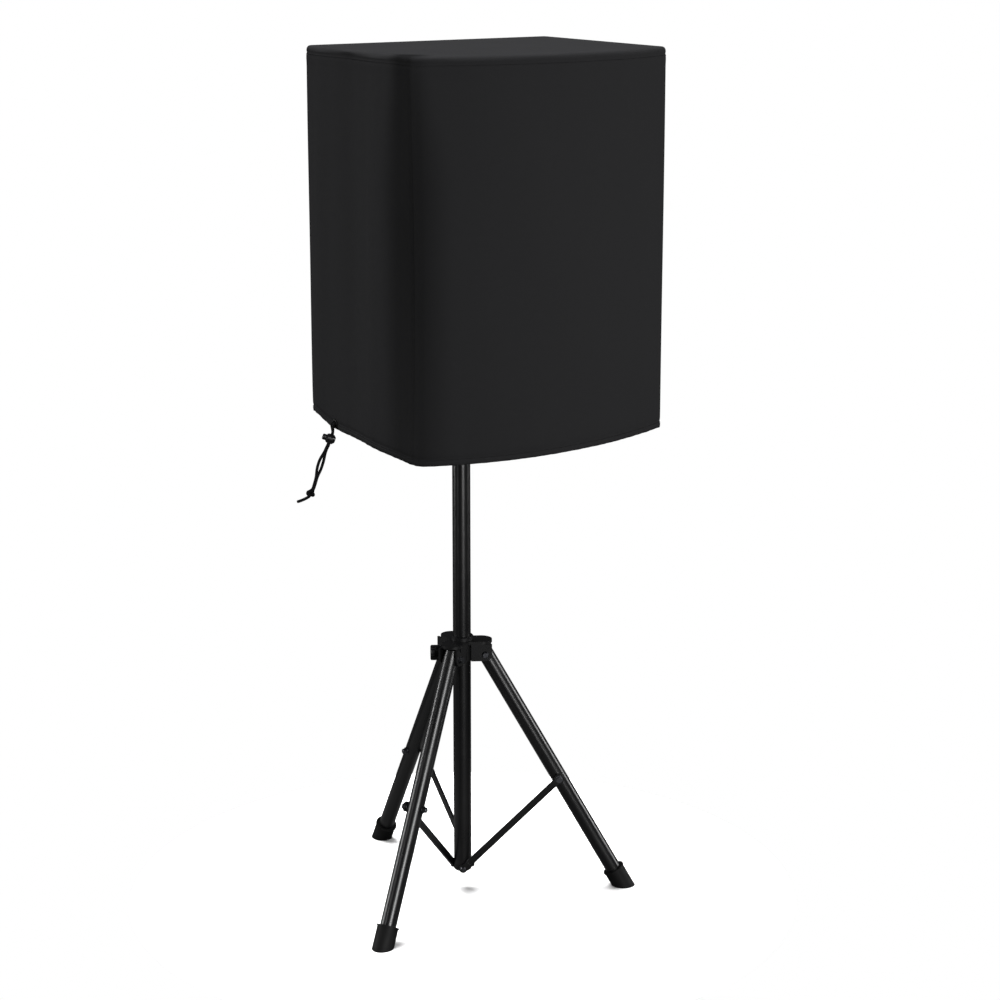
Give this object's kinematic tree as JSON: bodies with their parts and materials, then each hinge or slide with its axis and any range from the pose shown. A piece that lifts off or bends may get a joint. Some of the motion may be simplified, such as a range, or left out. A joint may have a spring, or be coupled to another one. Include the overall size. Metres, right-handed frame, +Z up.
{
  "type": "covered loudspeaker on tripod stand",
  "caption": "Black PA loudspeaker under a fitted fabric dust cover with hem drawstring, on a folding tripod stand with braced legs, telescoping mast and clamp knobs.",
  "frame": {"origin": "on the floor, on the axis of the mast", "axes": "+Z up along the mast; the speaker's front faces -Y; +X is the speaker's left-hand side seen from behind it"},
  "size_m": [0.632, 0.6876, 1.665],
  "materials": {
    "black_enamel": "gloss",
    "black_nylon": "satin",
    "zinc_steel": "satin",
    "painted_ply": "textured",
    "black_rubber": "matt",
    "cast_socket": "satin",
    "grille_sheet": "satin",
    "ferrite": "matt",
    "paper_cone": "matt",
    "horn_plastic": "satin",
    "amp_aluminium": "satin",
    "cover_nylon": "woven",
    "eyelet_brass": "satin",
    "cord_nylon": "braided",
    "lock_plastic": "satin"
  },
  "bodies": {
    "mast": {"outer_tube": "black_enamel", "shaft_bottom_cap": "black_nylon", "brace_rivets": "zinc_steel", "height_collar": "black_nylon"},
    "height_knob": {"height_knob": "black_nylon"},
    "height_pin": {"height_pin": "zinc_steel"},
    "hub": {"leg_hub": "black_nylon", "hub_flange": "black_nylon", "leg_pivot_bolts": "zinc_steel"},
    "hub_knob": {"hub_knob": "black_nylon"},
    "leg_1": {"leg_1": "black_enamel", "foot_1": "black_rubber", "brace_bolt_1": "zinc_steel"},
    "brace_1": {"brace_1": "black_enamel", "brace_head_1": "zinc_steel"},
    "leg_2": {"leg_2": "black_enamel", "foot_2": "black_rubber", "brace_bolt_2": "zinc_steel"},
    "brace_2": {"brace_2": "black_enamel", "brace_head_2": "zinc_steel"},
    "leg_3": {"leg_3": "black_enamel", "foot_3": "black_rubber", "brace_bolt_3": "zinc_steel"},
    "brace_3": {"brace_3": "black_enamel", "brace_head_3": "zinc_steel"},
    "inner_mast": {"inner_tube": "black_enamel", "pole_adapter": "black_nylon"},
    "speaker": {"cab_left": "painted_ply", "cab_right": "painted_ply", "cab_top": "painted_ply", "cab_bottom": "painted_ply", "cab_back": "painted_ply", "cab_baffle": "painted_ply", "cab_feet": "black_rubber", "pole_socket": "cast_socket", "grille": "grille_sheet", "woofer_frame": "cast_socket", "woofer_magnet": "ferrite", "horn": "horn_plastic", "compression_driver": "ferrite", "ports": "horn_plastic", "handles": "horn_plastic", "yoke_inserts": "zinc_steel", "amp_plate": "amp_aluminium", "mains_inlet": "horn_plastic", "xlr_jacks": "horn_plastic"},
    "woofer_cone": {"woofer_cone": "paper_cone"},
    "power_switch": {"power_switch": "horn_plastic"},
    "level_knob_1": {"level_knob_1": "horn_plastic"},
    "level_knob_2": {"level_knob_2": "horn_plastic"},
    "cover": {"cover_top": "cover_nylon", "cover_front": "cover_nylon", "cover_back": "cover_nylon", "cover_left": "cover_nylon", "cover_right": "cover_nylon", "drawstring_eyelet": "eyelet_brass", "drawstring": "cord_nylon", "drawstring_knot": "cord_nylon", "cord_lock_body": "lock_plastic"},
    "cord_lock_button": {"cord_lock_button": "lock_plastic"}
  },
  "joints": [
    {"name": "hub_slide", "type": "slide", "parent": "mast", "child": "hub", "axis": [0, 0, 1], "range_m": [0, 0.107]},
    {"name": "hub_knob_turn", "type": "hinge", "parent": "hub", "child": "hub_knob", "pos_m": [0, 0, 0.494], "axis": [-0.866, 0.5, 0], "range_deg": [-360, 360]},
    {"name": "leg_1_fold", "type": "hinge", "parent": "hub", "child": "leg_1", "pos_m": [-0.03897, -0.0225, 0.494], "axis": [0.5, -0.866, 0], "range_deg": [0, 24.22]},
    {"name": "brace_1_fold", "type": "hinge", "parent": "mast", "child": "brace_1", "pos_m": [0, 0, 0.049], "axis": [-0.5, 0.866, 0], "range_deg": [0, 30.12]},
    {"name": "leg_2_fold", "type": "hinge", "parent": "hub", "child": "leg_2", "pos_m": [0.03897, -0.0225, 0.494], "axis": [0.5, 0.866, 0], "range_deg": [0, 24.22]},
    {"name": "brace_2_fold", "type": "hinge", "parent": "mast", "child": "brace_2", "pos_m": [0, 0, 0.049], "axis": [-0.5, -0.866, 0], "range_deg": [0, 30.12]},
    {"name": "leg_3_fold", "type": "hinge", "parent": "hub", "child": "leg_3", "pos_m": [0, 0.045, 0.494], "axis": [-1, 0, 0], "range_deg": [0, 24.22]},
    {"name": "brace_3_fold", "type": "hinge", "parent": "mast", "child": "brace_3", "pos_m": [0, 0, 0.049], "axis": [1, 0, 0], "range_deg": [0, 30.12]},
    {"name": "mast_raise", "type": "slide", "parent": "mast", "child": "inner_mast", "axis": [0, 0, 1], "range_m": [0, 0.45]},
    {"name": "height_knob_turn", "type": "hinge", "parent": "mast", "child": "height_knob", "pos_m": [0, 0, 0.957], "axis": [-0.866, 0.5, 0], "range_deg": [-360, 360]},
    {"name": "height_pin_press", "type": "slide", "parent": "mast", "child": "height_pin", "axis": [-0.866, 0.5, 0], "range_m": [0, 0.005]},
    {"name": "speaker_swivel", "type": "hinge", "parent": "inner_mast", "child": "speaker", "pos_m": [0, 0, 1], "axis": [0, 0, 1], "continuous": true},
    {"name": "woofer_travel", "type": "slide", "parent": "speaker", "child": "woofer_cone", "axis": [0, 1, 0], "range_m": [-0.004, 0.004], "stiffness_N_per_m": 4000},
    {"name": "power_rocker", "type": "hinge", "parent": "speaker", "child": "power_switch", "pos_m": [0.015, 0.082, 1.221], "axis": [1, 0, 0], "range_deg": [0, 18]},
    {"name": "level_1_turn", "type": "hinge", "parent": "speaker", "child": "level_knob_1", "pos_m": [-0.01, 0.087, 1.425], "axis": [0, 1, 0], "range_deg": [-140, 140]},
    {"name": "level_2_turn", "type": "hinge", "parent": "speaker", "child": "level_knob_2", "pos_m": [0.04, 0.087, 1.425], "axis": [0, 1, 0], "range_deg": [-140, 140]},
    {"name": "cover_lift", "type": "slide", "parent": "speaker", "child": "cover", "axis": [0, 0, 1], "range_m": [0, 0.75]},
    {"name": "cord_lock_press", "type": "slide", "parent": "cover", "child": "cord_lock_button", "axis": [0.8122, -0.4689, -0.3469], "range_m": [0, 0.0035], "stiffness_N_per_m": 1500}
  ],
  "couplings": [
    {"joint": "leg_1_fold", "follows": "hub_slide", "rad_per_m": 3.9494},
    {"joint": "brace_1_fold", "follows": "hub_slide", "rad_per_m": 4.9107},
    {"joint": "leg_2_fold", "follows": "hub_slide", "rad_per_m": 3.9494},
    {"joint": "brace_2_fold", "follows": "hub_slide", "rad_per_m": 4.9107},
    {"joint": "leg_3_fold", "follows": "hub_slide", "rad_per_m": 3.9494},
    {"joint": "brace_3_fold", "follows": "hub_slide", "rad_per_m": 4.9107}
  ]
}
